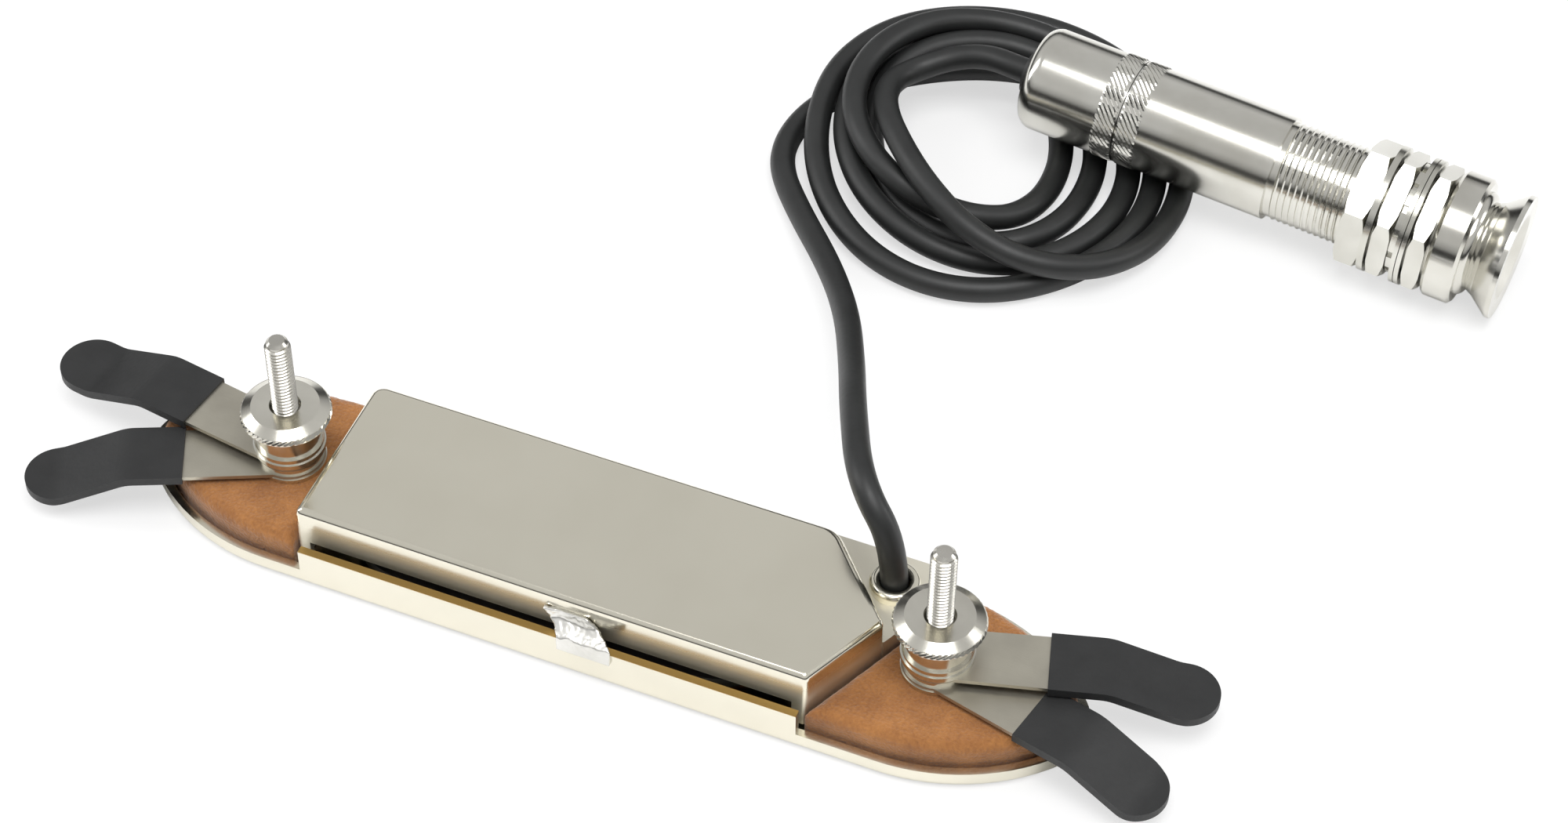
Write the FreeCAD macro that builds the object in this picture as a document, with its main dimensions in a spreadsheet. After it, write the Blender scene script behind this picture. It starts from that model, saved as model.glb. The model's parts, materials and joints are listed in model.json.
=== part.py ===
"""Soundhole pickup for an acoustic guitar, lying on its face, with its lead and endpin jack.

The frame's origin is the centre of the front shell's face, X runs along the pickup, Y to its back
edge and Z up through its back. Lengths are in millimetres, angles in degrees.
"""
import FreeCAD, Part
import math
import os
import Sketcher

V = FreeCAD.Vector

# Driving sizes

SIZES = {
    # Front shell
    "shell_half_width": 12.3,
    "shell_straight": 36.5,
    "flank_radius": 24.0,
    "nose_radius": 6.0,
    "sheet": 0.9,
    "shell_edge": 1.2,
    "rim_top": 2.5,
    "side_wall_top": 5.6,
    "side_wall_left": 31.8,
    "side_wall_right": 27.4,
    "side_wall_back_right": 34.2,
    # Rear cover
    "cover_sheet": 0.8,
    "cover_left": 32.9,
    "channel": 1.1,
    "cover_front_right": 27.7,
    "cover_corner_along": 32.6,
    "cover_corner_back": 0.1,
    "cover_back_right": 23.3,
    "cover_top": 10.0,
    "cover_edge": 0.85,
    "cover_back_round": 3.4,
    "cover_left_round": 1.5,
    "cover_end_round": 0.7,
    "leg_bottom": 1.9,
    "leg_width": 1.6,
    "window_top": 5.2,
    "ledge_top": 6.4,
    "ledge_right": 34.2,
    "ledge_left": 22.3,
    "ledge_gap": 0.2,
    "ring_from_end": 3.3,
    "ring_from_back": 3.3,
    "ring_outer": 2.85,
    "ring_inner": 2.05,
    "ring_height": 1.3,
    # Ground tab
    "tab_sheet": 0.45,
    "tab_top_left": 2.7,
    "tab_top_right": 2.6,
    "tab_foot_left": 0.4,
    "tab_foot_right": 5.9,
    "tab_top": 8.2,
    "tab_foot": 4.2,
    "tab_fold": 0.75,
    # Suede pads
    "pad_top": 5.3,
    "pad_rim_gap": 0.5,
    "pad_cover_gap": 0.35,
    "pad_edge": 1.3,
    # Studs and their washers
    "stud_spacing": 77.6,
    "stud_radius": 1.45,
    "stud_core_radius": 1.23,
    "stud_top": 24.7,
    "stud_chamfer": 0.35,
    "stud_head_radius": 3.2,
    "stud_head_height": 1.0,
    "stud_clearance": 0.1,
    "base_washer_height": 0.6,
    "base_washer_radius": 4.0,
    "middle_washer_height": 0.9,
    "middle_washer_radius": 3.7,
    "top_washer_height": 0.6,
    "top_washer_radius": 4.1,
    # Leaves and sleeves
    "leaf_sheet": 0.5,
    "leaf_eye": 3.9,
    "leaf_root_half": 3.45,
    "leaf_half": 3.55,
    "leaf_root": 14.0,
    "leaf_flat": 18.5,
    "leaf_ramp": 7.8,
    "leaf_drop": 3.1,
    "leaf_reach": 28.0,
    "leaf_bend": 4.0,
    "sleeve_wall": 0.3,
    "sleeve_start": 12.0,
    "left_upper_heading": 171.3,
    "left_lower_heading": 204.6,
    "right_upper_heading": 16.0,
    "right_lower_heading": -13.0,
    "left_upper_reach": 32.0,
    "left_lower_reach": 30.2,
    "right_upper_reach": 30.6,
    "right_lower_reach": 28.8,
    # Thumb nuts
    "nut_collar_radius": 3.95,
    "nut_collar_height": 0.7,
    "nut_boss_radius": 3.65,
    "nut_boss_height": 4.1,
    "nut_head_radius": 5.0,
    "nut_head_height": 1.75,
    "nut_bevel_across": 1.15,
    "nut_bevel_down": 0.7,
    "nut_bore_chamfer": 0.25,
    # Coil and magnet inside the box
    "former_end_gap": 2.1,
    "former_side_gap": 0.9,
    "former_core_half": 2.0,
    "former_flange": 0.8,
    "former_height": 5.3,
    "winding_depth": 4.6,
    "blade_half_thick": 0.8,
    "blade_inset": 1.4,
    "magnet_height": 2.2,
    "magnet_half_width": 3.2,
    "board_gap": 0.8,
    "board_to_former": 3.0,
    "board_back": -1.0,
    "board_length": 5.4,
    "board_width": 9.0,
    "board_thick": 1.2,
    # Jack: places along its axis from the rear end
    "jack_along": 18.86,
    "jack_back": 87.0,
    "jack_height": 10.5,
    "jack_turn": -4.9,
    "jack_dip": 2.45,
    "jack_radius": 6.45,
    "jack_cap_length": 13.0,
    "jack_cap_round": 1.9,
    "jack_cap_wall": 1.0,
    "jack_seam": 0.1,
    "jack_barrel_end": 32.6,
    "jack_thread_radius": 5.9,
    "jack_thread_end": 57.2,
    "jack_chamber_radius": 5.0,
    "jack_chamber_end": 38.0,
    "jack_bore_radius": 3.25,
    "jack_fit": 0.05,
    "contact_thick": 0.4,
    "contact_width": 2.4,
    "contact_inset": 0.9,
    "contact_tail": 6.0,
    "contact_bend": 10.0,
    "contact_nose": 5.0,
    "contact_nose_radius": 2.4,
    "contact_end": 3.2,
    "contact_end_radius": 3.2,
    "bush_radius": 2.6,
    "bush_length": 1.4,
    "bush_out": 0.9,
    "hex_across": 14.0,
    "hex_chamfer": 0.75,
    "nut_a_start": 42.5,
    "nut_a_thick": 3.0,
    "washer_a_start": 45.6,
    "washer_a_thick": 0.8,
    "nut_b_start": 46.6,
    "nut_b_thick": 2.2,
    "lock_start": 48.9,
    "lock_thick": 0.7,
    "lock_radius": 6.9,
    "flat_start": 49.7,
    "flat_thick": 0.55,
    "flat_pitch": 0.65,
    "flat_radius": 7.85,
    "nut_c_start": 51.1,
    "nut_c_thick": 2.1,
    "button_start": 53.6,
    "button_collar": 3.7,
    "button_radius": 7.85,
    "button_neck_radius": 5.4,
    "button_end": 62.7,
    "button_flange_radius": 7.7,
    "button_flange": 1.0,
    "button_bell": 3.3,
    # Cord
    "cord_diameter": 3.1,
    "coil_along": 17.0,
    "coil_back": 79.5,
    "coil_half_length": 24.5,
    "coil_half_width": 25.5,
    "coil_hole_half_length": 9.0,
    "coil_hole_half_width": 10.5,
    "coil_hole_shift": -3.0,
    "coil_height": 6.2,
    "coil_round": 2.4,
    "coil_jack_gap": 0.3,
}


class Size:
    """A number from the sheet that also keeps the expression that gives it."""

    def __init__(self, number, text):
        self.number = number
        self.text = text

    def __add__(self, other):
        return combined(self, "+", other)

    def __radd__(self, other):
        return combined(other, "+", self)

    def __sub__(self, other):
        return combined(self, "-", other)

    def __rsub__(self, other):
        return combined(other, "-", self)

    def __mul__(self, other):
        return combined(self, "*", other)

    def __rmul__(self, other):
        return combined(other, "*", self)

    def __truediv__(self, other):
        return combined(self, "/", other)

    def __neg__(self):
        return combined(0, "-", self)


ACTIONS = {
    "+": lambda a, b: a + b,
    "-": lambda a, b: a - b,
    "*": lambda a, b: a * b,
    "/": lambda a, b: a / b,
}


def as_size(value):
    if isinstance(value, Size):
        return value
    return Size(float(value), repr(float(value)))


def combined(left, sign, right):
    left = as_size(left)
    right = as_size(right)
    number = ACTIONS[sign](left.number, right.number)
    return Size(number, "(%s %s %s)" % (left.text, sign, right.text))


def root(value):
    return Size(math.sqrt(value.number), "sqrt(%s)" % value.text)


def half_turn_tangent(rise, run):
    """Tangent of half the angle whose slope is rise over run."""
    number = math.tan(math.atan(rise.number / run.number) / 2)
    return Size(number, "tan(atan(%s / %s) / 2)" % (rise.text, run.text))


class Sheet:
    """The spreadsheet of driving sizes, read by name."""

    def __init__(self, doc, sizes):
        self.cells = doc.addObject("Spreadsheet::Sheet", "Sizes")
        for row, (name, value) in enumerate(sizes.items(), start=1):
            self.cells.set("A%d" % row, name)
            self.cells.set("B%d" % row, str(value))
            self.cells.setAlias("B%d" % row, name)
        doc.recompute()

    def __getattr__(self, name):
        return Size(float(self.cells.get(name)), "Sizes." + name)


doc = FreeCAD.newDocument("SoundholePickup")
S = Sheet(doc, SIZES)

nodes = []


def node(piece, name):
    """Registers a finished piece under its node's name."""
    piece.Label = name
    nodes.append(piece)
    return piece


# Sketches and features


def new_body(name):
    return doc.addObject("PartDesign::Body", name)


def sketch_on(body, role, height=None):
    """An empty sketch on one of the body's origin planes, moved along the plane's normal."""
    plane = [part for part in body.Origin.OriginFeatures if part.Role == role][0]
    sketch = body.newObject("Sketcher::SketchObject", "Outline")
    sketch.AttachmentSupport = [(plane, "")]
    sketch.MapMode = "FlatFace"
    if height is not None:
        sketch.setExpression("AttachmentOffset.Base.z", height.text)
    return sketch


def pin(sketch, edge, end, across, up):
    """Holds one end of an edge at a place given by two sizes."""
    places = (("DistanceX", across, -2), ("DistanceY", up, -1))
    for kind, value, axis in places:
        value = as_size(value)
        if abs(value.number) < 1e-9:
            sketch.addConstraint(Sketcher.Constraint("PointOnObject", edge, end, axis))
            continue
        index = sketch.addConstraint(Sketcher.Constraint(kind, edge, end, value.number))
        sketch.setExpression("Constraints[%d]" % index, value.text)


def arc_between(start, end, radius, side):
    """The short arc from start to end. It bulges to the left for side 1 and to the right for -1."""
    chord = end - start
    middle = (start + end) * 0.5
    left = V(-chord.y, chord.x, 0).normalize()
    rise = radius - math.sqrt(radius ** 2 - (chord.Length / 2) ** 2)
    return Part.Arc(start, middle + left * (side * rise), end)


def outline(sketch, corners):
    """A closed outline. A corner is (x, y), or (x, y, radius, side) where an arc follows it."""
    first = sketch.GeometryCount
    count = len(corners)
    starts = [V(as_size(c[0]).number, as_size(c[1]).number, 0) for c in corners]
    flipped = {}
    for i, corner in enumerate(corners):
        start = starts[i]
        end = starts[(i + 1) % count]
        if len(corner) == 2:
            sketch.addGeometry(Part.LineSegment(start, end), False)
            flipped[i] = (1, 2)
            continue
        arc = arc_between(start, end, as_size(corner[2]).number, corner[3])
        sketch.addGeometry(arc, False)
        # A sketch keeps each arc anticlockwise, so an arc that bulges left starts at its far end
        flipped[i] = (2, 1) if corner[3] > 0 else (1, 2)
        index = sketch.addConstraint(
            Sketcher.Constraint("Radius", first + i, as_size(corner[2]).number))
        sketch.setExpression("Constraints[%d]" % index, as_size(corner[2]).text)
    for i, corner in enumerate(corners):
        follower = (i + 1) % count
        sketch.addConstraint(Sketcher.Constraint(
            "Coincident", first + i, flipped[i][1], first + follower, flipped[follower][0]))
        pin(sketch, first + i, flipped[i][0], corner[0], corner[1])


def circle(sketch, across, up, radius):
    across = as_size(across)
    up = as_size(up)
    shape = Part.Circle(V(across.number, up.number, 0), V(0, 0, 1), radius.number)
    edge = sketch.addGeometry(shape, False)
    index = sketch.addConstraint(Sketcher.Constraint("Radius", edge, radius.number))
    sketch.setExpression("Constraints[%d]" % index, radius.text)
    if abs(across.number) < 1e-9 and abs(up.number) < 1e-9:
        sketch.addConstraint(Sketcher.Constraint("Coincident", edge, 3, -1, 1))
    else:
        pin(sketch, edge, 3, across, up)


def box_outline(sketch, left, right, low, high):
    outline(sketch, [(left, low), (right, low), (right, high), (left, high)])


def pad(body, sketch, length, middle=False):
    feature = body.newObject("PartDesign::Pad", "Pad")
    feature.Profile = sketch
    feature.setExpression("Length", as_size(length).text)
    feature.Midplane = middle
    doc.recompute()
    return feature


def pocket(body, sketch, length=None, upward=False, middle=False):
    """Cuts the sketch out of the body, through all of it where no length is given."""
    before = body.Shape.Volume
    feature = body.newObject("PartDesign::Pocket", "Pocket")
    feature.Profile = sketch
    feature.Reversed = upward
    feature.Midplane = middle
    if length is None:
        feature.Type = "ThroughAll"
    else:
        feature.setExpression("Length", as_size(length).text)
    doc.recompute()
    if body.Shape.Volume > before - 1e-6:
        raise ValueError("a cut in %s removes nothing" % body.Name)
    return feature


def turned(body, sketch, axis):
    feature = body.newObject("PartDesign::Revolution", "Turned")
    feature.Profile = sketch
    feature.ReferenceAxis = (sketch, [axis])
    feature.Angle = 360
    doc.recompute()
    return feature


def edges_where(shape, test):
    return ["Edge%d" % i for i, edge in enumerate(shape.Edges, start=1) if test(edge)]


def eased(body, kind, names, value):
    """A Fillet or a Chamfer on named edges of the body's last feature."""
    if not names:
        raise ValueError("no edge to ease on %s" % body.Name)
    base = body.Tip
    feature = body.newObject("PartDesign::" + kind, kind)
    feature.Base = (base, names)
    feature.setExpression("Radius" if kind == "Fillet" else "Size", as_size(value).text)
    doc.recompute()
    return feature


def flat_at(height):
    """Picks edges that lie wholly at one height."""
    level = as_size(height).number

    def test(edge):
        box = edge.BoundBox
        return abs(box.ZMin - level) < 1e-4 and abs(box.ZMax - level) < 1e-4
    return test


def upright_at(across, back):
    """Picks the upright edges over one place in plan."""
    across = as_size(across).number
    back = as_size(back).number

    def test(edge):
        box = edge.BoundBox
        near = abs(box.XMin - across) < 1e-3 and abs(box.YMin - back) < 1e-3
        return near and box.XLength < 1e-3 and box.YLength < 1e-3
    return test


def ring(name, place, low, height, outer, inner):
    """A plain washer that stands on the height low around an upright axis."""
    rod = doc.addObject("Part::Cylinder", name + "_disc")
    rod.setExpression("Radius", as_size(outer).text)
    rod.setExpression("Height", as_size(height).text)
    hole = doc.addObject("Part::Cylinder", name + "_hole")
    hole.setExpression("Radius", as_size(inner).text)
    hole.setExpression("Height", as_size(height).text)
    for part in (rod, hole):
        part.setExpression("Placement.Base.x", as_size(place[0]).text)
        part.setExpression("Placement.Base.y", as_size(place[1]).text)
        part.setExpression("Placement.Base.z", as_size(low).text)
    cut = doc.addObject("Part::Cut", name)
    cut.Base = rod
    cut.Tool = hole
    doc.recompute()
    return cut


# Front shell


def end_corners(inset, side):
    """Corners of one pointed end of the shell's outline, drawn inward by inset.

    side is 1 for the right end, from front to back, and -1 for the left end, from back to front.
    """
    reach = S.flank_radius - S.nose_radius
    drop = S.flank_radius - S.shell_half_width
    nose_run = root(reach * reach - drop * drop)
    flank = S.flank_radius - inset
    join_along = S.shell_straight + nose_run / reach * flank
    join_back = drop / reach * flank - drop
    half_width = S.shell_half_width - inset
    nose = S.nose_radius - inset
    return [
        (side * S.shell_straight, -side * half_width, flank, -1),
        (side * join_along, -side * join_back, nose, -1),
        (side * join_along, side * join_back, flank, -1),
        (side * S.shell_straight, side * half_width),
    ]


def front_shell():
    body = new_body("FrontShell")
    plan = sketch_on(body, "XY_Plane")
    outline(plan, end_corners(0, 1) + end_corners(0, -1))
    pad(body, plan, S.side_wall_top)
    eased(body, "Fillet", edges_where(body.Shape, flat_at(0)), S.shell_edge)
    hollow = sketch_on(body, "XY_Plane", S.sheet)
    outline(hollow, end_corners(S.sheet, 1) + end_corners(S.sheet, -1))
    pocket(body, hollow, upward=True)
    past = 2 * S.shell_straight
    wide = 2 * S.shell_half_width
    low_ends = sketch_on(body, "XY_Plane", S.rim_top)
    box_outline(low_ends, -past, -S.side_wall_left, -wide, wide)
    outline(low_ends, [
        (S.side_wall_right, -wide),
        (past, -wide),
        (past, wide),
        (S.side_wall_back_right, wide),
        (S.side_wall_back_right, 0),
        (S.side_wall_right, 0),
    ])
    pocket(body, low_ends, upward=True)
    return node(body, "front_shell")


# Rear cover

COVER_HALF = S.shell_half_width - S.sheet - S.channel
LEDGE_BACK = S.shell_half_width - S.sheet - S.ledge_gap
RING_ALONG = S.ledge_right - S.ring_from_end
RING_BACK = LEDGE_BACK - S.ring_from_back
SLANT = (S.cover_corner_along - S.cover_front_right) / (S.cover_corner_back + COVER_HALF)
END_WALL = S.cover_sheet * root(SLANT * SLANT + 1)


def slant_along(back, clear=0):
    """X of the slanted end wall's outer face, or a line that clears it, at a place across."""
    return S.cover_front_right + clear + (back + COVER_HALF) * SLANT


def ledge_turn():
    """Y where the slanted end wall meets the ledge's right side."""
    return (S.ledge_right - S.cover_front_right) / SLANT - COVER_HALF


def rear_cover():
    body = new_body("RearCover")
    low = S.leg_bottom
    box = sketch_on(body, "XY_Plane", low)
    outline(box, [
        (-S.cover_left, -COVER_HALF),
        (S.cover_front_right, -COVER_HALF),
        (S.cover_corner_along, S.cover_corner_back),
        (S.cover_back_right, COVER_HALF),
        (-S.cover_left, COVER_HALF),
    ])
    pad(body, box, S.cover_top - low)
    rounds = [
        ((S.cover_back_right, COVER_HALF), S.cover_back_round),
        ((-S.cover_left, COVER_HALF), S.cover_left_round),
        ((S.cover_front_right, -COVER_HALF), S.cover_end_round),
        ((-S.cover_left, -COVER_HALF), S.cover_end_round),
        ((S.cover_corner_along, S.cover_corner_back), S.cover_end_round),
    ]
    for place, radius in rounds:
        eased(body, "Fillet", edges_where(body.Shape, upright_at(*place)), radius)
    ledge = sketch_on(body, "XY_Plane", low)
    outline(ledge, [
        (S.ledge_left, S.cover_corner_back),
        (slant_along(S.cover_corner_back), S.cover_corner_back),
        (S.ledge_right, ledge_turn()),
        (S.ledge_right, LEDGE_BACK),
        (S.ledge_left, LEDGE_BACK),
    ])
    pad(body, ledge, S.ledge_top - low)
    eased(body, "Fillet", edges_where(body.Shape, flat_at(S.cover_top)), S.cover_edge)
    wall = S.cover_sheet
    turn = (S.cover_corner_along - S.cover_back_right) / (COVER_HALF - S.cover_corner_back)
    back_wall = wall * root(turn * turn + 1)
    corner = S.cover_corner_back + (END_WALL - back_wall) / (SLANT + turn)
    room = sketch_on(body, "XY_Plane", low)
    outline(room, [
        (-S.cover_left + wall, -COVER_HALF + wall),
        (slant_along(-COVER_HALF + wall, -END_WALL), -COVER_HALF + wall),
        (slant_along(corner, -END_WALL), corner),
        (S.cover_back_right - back_wall + wall * turn, COVER_HALF - wall),
        (-S.cover_left + wall, COVER_HALF - wall),
    ])
    pocket(body, room, S.cover_top - wall - low, upward=True)
    under = sketch_on(body, "XY_Plane", low)
    side = S.ledge_right - wall
    outline(under, [
        (S.ledge_left + wall, corner),
        (slant_along(corner, -END_WALL), corner),
        (side, (side + END_WALL - S.cover_front_right) / SLANT - COVER_HALF),
        (side, LEDGE_BACK - wall),
        (S.ledge_left + wall, LEDGE_BACK - wall),
    ])
    pocket(body, under, S.ledge_top - wall - low, upward=True)
    flange = sketch_on(body, "XY_Plane", S.side_wall_top)
    box_outline(flange, S.ledge_left, S.ledge_right, LEDGE_BACK - S.cover_sheet / 2,
                S.shell_half_width)
    pad(body, flange, S.ledge_top - S.side_wall_top)
    windows = sketch_on(body, "XY_Plane", low)
    outside = 2 * COVER_HALF
    inside = COVER_HALF / 2
    box_outline(windows, -S.cover_left + S.leg_width, S.cover_front_right - S.leg_width,
                -outside, -inside)
    box_outline(windows, -S.cover_left + S.leg_width, S.ledge_left - S.leg_width,
                inside, outside)
    pocket(body, windows, S.window_top - low, upward=True)
    hole = sketch_on(body, "XY_Plane", S.ledge_top + S.cover_sheet)
    circle(hole, RING_ALONG, RING_BACK, S.ring_inner)
    pocket(body, hole, 2 * S.cover_sheet + S.cover_sheet / 2)
    return node(body, "rear_cover")


def cord_ring():
    """The rolled ring on the ledge, with a lip down through the ledge's hole."""
    body = new_body("CordRing")
    half = sketch_on(body, "XZ_Plane")
    clear = S.cord_diameter / 2 + S.stud_clearance
    roll = (S.ring_outer - clear) / 2
    top = S.ledge_top + S.ring_height
    outline(half, [
        (clear, S.ledge_top),
        (S.ring_outer, S.ledge_top),
        (S.ring_outer, top - roll, roll, -1),
        (S.ring_outer - roll, top, roll, -1),
        (clear, top - roll),
    ])
    turned(body, half, "V_Axis")
    body.setExpression("Placement.Base.x", RING_ALONG.text)
    body.setExpression("Placement.Base.y", RING_BACK.text)
    doc.recompute()
    return node(body, "cord_ring")


def ground_tab():
    """A bright strip from the cover's front wall, over the slot and down the shell's side wall."""
    wall = COVER_HALF.number
    skirt = S.shell_half_width.number
    thick = S.tab_sheet.number
    top = S.tab_top.number
    foot = S.tab_foot.number
    shoulder = S.side_wall_top.number
    path = [
        (-wall, top),
        (-wall - 0.2, top - 1.3),
        (-wall - 0.9, shoulder + 0.75),
        (-skirt, shoulder + 0.25),
        (-skirt, foot),
    ]
    left = [-S.tab_top_left.number, -S.tab_foot_left.number]
    right = [S.tab_top_right.number, S.tab_foot_right.number]
    outward = [(-1.0, 0.0), (-0.95, 0.3), (-0.6, 0.8), (-0.7, 0.7), (-1.0, 0.0)]
    sections = []
    for i, (back, height) in enumerate(path):
        share = min(1.0, i / 3)
        low_x = left[0] + (left[1] - left[0]) * share
        high_x = right[0] + (right[1] - right[0]) * share
        out = V(0, outward[i][0], outward[i][1]).normalize() * thick
        base = V(0, back, height)
        corners = [
            V(low_x, 0, 0) + base,
            V(high_x, 0, 0) + base,
            V(high_x, 0, 0) + base + out,
            V(low_x, 0, 0) + base + out,
        ]
        sections.append(Part.makePolygon(corners + corners[:1]))
    piece = doc.addObject("Part::Feature", "GroundTab")
    piece.Shape = Part.makeLoft(sections, True, True)
    return node(piece, "ground_tab")


# Suede pads


def suede_pad(name, corners, place):
    body = new_body("SuedePad")
    plan = sketch_on(body, "XY_Plane", S.sheet)
    outline(plan, corners)
    pad(body, plan, S.pad_top - S.sheet)
    eased(body, "Fillet", edges_where(body.Shape, flat_at(S.pad_top)), S.pad_edge)
    shank = sketch_on(body, "XY_Plane", S.sheet)
    circle(shank, place, 0, S.stud_radius + 2 * S.stud_clearance)
    pocket(body, shank, upward=True)
    head = sketch_on(body, "XY_Plane", S.sheet)
    circle(head, place, 0, S.stud_head_radius + 2 * S.stud_clearance)
    pocket(body, head, S.stud_head_height + S.stud_clearance, upward=True)
    return node(body, name)


def suede_pads():
    inset = S.sheet + S.pad_rim_gap
    edge = S.shell_half_width - inset
    left = -S.cover_left - S.pad_cover_gap
    suede_pad("suede_pad_left", end_corners(inset, -1) + [(left, -edge), (left, edge)],
              -S.stud_spacing / 2)
    clear = S.pad_cover_gap * 1.1
    step = S.ledge_right + S.pad_cover_gap
    suede_pad("suede_pad_right", end_corners(inset, 1) + [
        (step, edge),
        (step, ledge_turn()),
        (slant_along(-edge, clear), -edge),
    ], S.stud_spacing / 2)


# Studs, washers and thumb nuts

PAD_TOP = S.pad_top
LOWER_LEAF = PAD_TOP + S.base_washer_height
UPPER_LEAF = LOWER_LEAF + S.leaf_sheet + S.middle_washer_height
TOP_WASHER = UPPER_LEAF + S.leaf_sheet
NUT_FOOT = TOP_WASHER + S.top_washer_height


def stud(side, along):
    """A fixed stud, whose shank is drawn at the core of its thread."""
    body = new_body("Stud")
    half = sketch_on(body, "XZ_Plane")
    head_top = S.sheet + S.stud_head_height
    outline(half, [
        (0, S.sheet),
        (S.stud_head_radius, S.sheet),
        (S.stud_head_radius, head_top),
        (S.stud_core_radius, head_top),
        (S.stud_core_radius, S.stud_top - S.stud_chamfer),
        (S.stud_core_radius - S.stud_chamfer, S.stud_top),
        (0, S.stud_top),
    ])
    turned(body, half, "V_Axis")
    body.setExpression("Placement.Base.x", along.text)
    doc.recompute()
    return node(body, "stud_" + side)


def thumb_nut(side, along):
    """A nut with a collar, a boss and a knurled head, whose rim is bevelled on top."""
    body = new_body("ThumbNut")
    half = sketch_on(body, "XZ_Plane")
    bore = S.stud_radius + S.stud_clearance
    boss_top = NUT_FOOT + S.nut_boss_height
    top = boss_top + S.nut_head_height
    outline(half, [
        (bore, NUT_FOOT),
        (S.nut_collar_radius, NUT_FOOT),
        (S.nut_collar_radius, NUT_FOOT + S.nut_collar_height),
        (S.nut_boss_radius, NUT_FOOT + S.nut_collar_height),
        (S.nut_boss_radius, boss_top),
        (S.nut_head_radius - S.nut_bore_chamfer, boss_top),
        (S.nut_head_radius, boss_top + S.nut_bore_chamfer),
        (S.nut_head_radius, top - S.nut_bevel_down),
        (S.nut_head_radius - S.nut_bevel_across, top),
        (bore + S.nut_bore_chamfer, top),
        (bore, top - S.nut_bore_chamfer),
    ])
    turned(body, half, "V_Axis")
    body.setExpression("Placement.Base.x", along.text)
    doc.recompute()
    return node(body, "thumb_nut_" + side)


def stud_group(side, along):
    stud(side, along)
    bore = S.stud_radius + S.stud_clearance
    place = (along, 0)
    node(ring("BaseWasher", place, PAD_TOP, S.base_washer_height, S.base_washer_radius, bore),
         "base_washer_" + side)
    node(ring("MiddleWasher", place, LOWER_LEAF + S.leaf_sheet, S.middle_washer_height,
              S.middle_washer_radius, bore), "middle_washer_" + side)
    node(ring("TopWasher", place, TOP_WASHER, S.top_washer_height, S.top_washer_radius, bore),
         "top_washer_" + side)
    thumb_nut(side, along)


# Spring leaves and their sleeves


def bent_strip(body, level, thick, reach):
    """A strip along X, flat at the eye, ramped down and flat again at the tip."""
    side = sketch_on(body, "XZ_Plane")
    shift = thick / 2 * half_turn_tangent(S.leaf_drop, S.leaf_ramp)
    knee = S.leaf_flat
    toe = S.leaf_flat + S.leaf_ramp
    half = thick / 2
    tip = level - S.leaf_drop
    outline(side, [
        (-reach, level - half),
        (knee - shift, level - half),
        (toe - shift, tip - half),
        (2 * S.leaf_flat, tip - half),
        (2 * S.leaf_flat, tip + half),
        (toe + shift, tip + half),
        (knee + shift, level + half),
        (-reach, level + half),
    ])
    pad(body, side, 4 * S.leaf_half, middle=True)
    bends = [
        ((knee - shift, level - half), S.leaf_bend),
        ((knee + shift, level + half), S.leaf_bend + thick),
        ((toe - shift, tip - half), S.leaf_bend + thick),
        ((toe + shift, tip + half), S.leaf_bend),
    ]
    for (along, height), radius in bends:
        def at_bend(edge):
            box = edge.BoundBox
            near = abs(box.XMin - along.number) < 1e-3 and abs(box.ZMin - height.number) < 1e-3
            return near and box.XLength < 1e-3 and box.ZLength < 1e-3
        eased(body, "Fillet", edges_where(body.Shape, at_bend), radius)


def trim_plan(body, corners, past):
    """Cuts away all that lies outside the plan outline."""
    plan = sketch_on(body, "XY_Plane")
    box_outline(plan, -past, 3 * S.leaf_flat, -past, past)
    outline(plan, corners)
    pocket(body, plan, middle=True)


def leaf(name, level, along, heading):
    body = new_body("Leaf")
    middle = level + S.leaf_sheet / 2
    bent_strip(body, middle, S.leaf_sheet, 2 * S.leaf_eye)
    half = S.leaf_half
    tip_centre = S.leaf_reach - half
    eye_run = root(S.leaf_eye * S.leaf_eye - S.leaf_root_half * S.leaf_root_half)
    trim_plan(body, [
        (eye_run, -S.leaf_root_half),
        (S.leaf_root, -half),
        (tip_centre, -half, half, -1),
        (S.leaf_reach, 0, half, -1),
        (tip_centre, half),
        (S.leaf_root, half),
        (eye_run, S.leaf_root_half, S.leaf_eye, -1),
        (-S.leaf_eye, 0, S.leaf_eye, -1),
    ], 4 * half)
    hole = sketch_on(body, "XY_Plane")
    circle(hole, 0, 0, S.stud_radius + S.stud_clearance)
    pocket(body, hole, middle=True)
    place_at_stud(body, along, heading)
    return node(body, name)


def sleeve(name, inner, level, along, heading, reach):
    """Heat-shrink tube, closed over the leaf's tip and open at its root."""
    body = new_body("SleeveBlank")
    middle = level + S.leaf_sheet / 2
    bent_strip(body, middle, S.leaf_sheet + 2 * S.sleeve_wall, 0)
    half = S.leaf_half + S.sleeve_wall
    trim_plan(body, [
        (S.sleeve_start, -half),
        (reach - half, -half, half, -1),
        (reach, 0, half, -1),
        (reach - half, half),
        (S.sleeve_start, half),
    ], 4 * half)
    place_at_stud(body, along, heading)
    tube = doc.addObject("Part::Cut", "Sleeve")
    tube.Base = body
    tube.Tool = inner
    doc.recompute()
    return node(tube, name)


def place_at_stud(body, along, heading):
    turn = FreeCAD.Rotation(V(0, 0, 1), heading.number)
    body.Placement = FreeCAD.Placement(V(along.number, 0, 0), turn)
    doc.recompute()


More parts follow.
